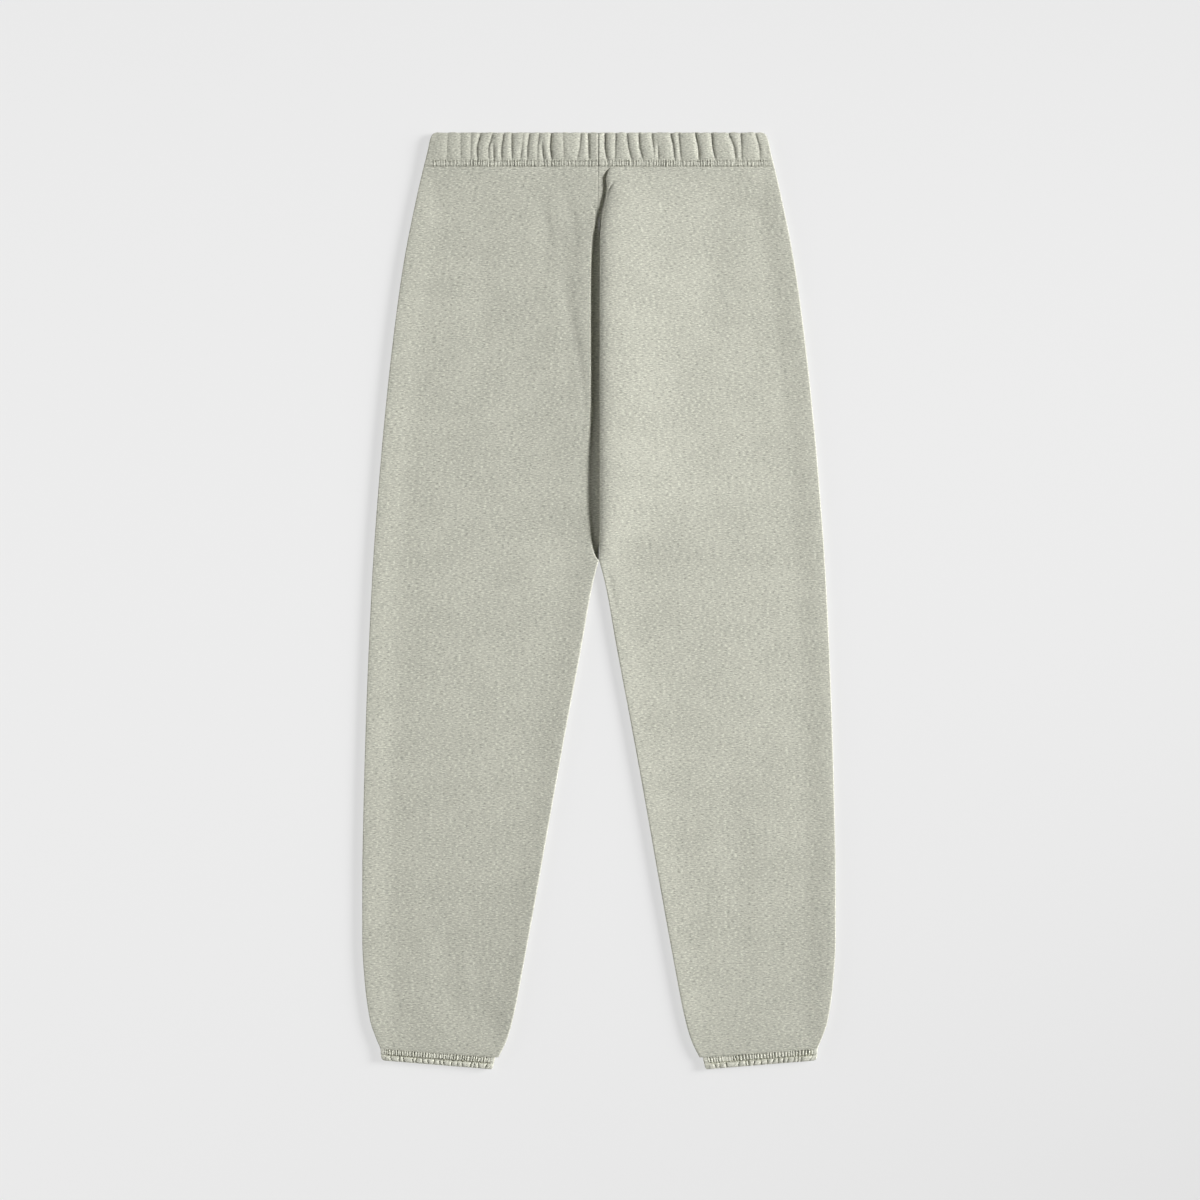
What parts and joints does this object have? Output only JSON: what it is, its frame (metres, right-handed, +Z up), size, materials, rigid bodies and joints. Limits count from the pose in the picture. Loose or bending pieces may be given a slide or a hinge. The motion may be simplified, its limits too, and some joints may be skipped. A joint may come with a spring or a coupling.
{
  "type": "jogger sweatpants",
  "caption": "Fleece jogger sweatpants laid flat with the back up: gathered elastic waistband, a deep fold down the seat, tapered legs and gathered elastic hems.",
  "frame": {"origin": "on the surface that the sweatpants lie on, under the middle of their outline", "axes": "+X to the right across the back, +Y towards the waist, +Z up from the surface"},
  "size_m": [0.521, 1.0313, 0.016],
  "materials": {
    "fleece": "brushed-back cotton fleece, heather sage grey, matt jersey face with short light and dark flecks",
    "casing": "the same fleece gathered over elastic, with coverstitched edges"
  },
  "bodies": {
    "root": {"back_left": "fleece", "back_right": "fleece", "front_left": "fleece", "front_right": "fleece", "waistband_left": "casing", "waistband_right": "casing", "hem_left": "casing", "hem_right": "casing"}
  },
  "joints": []
}
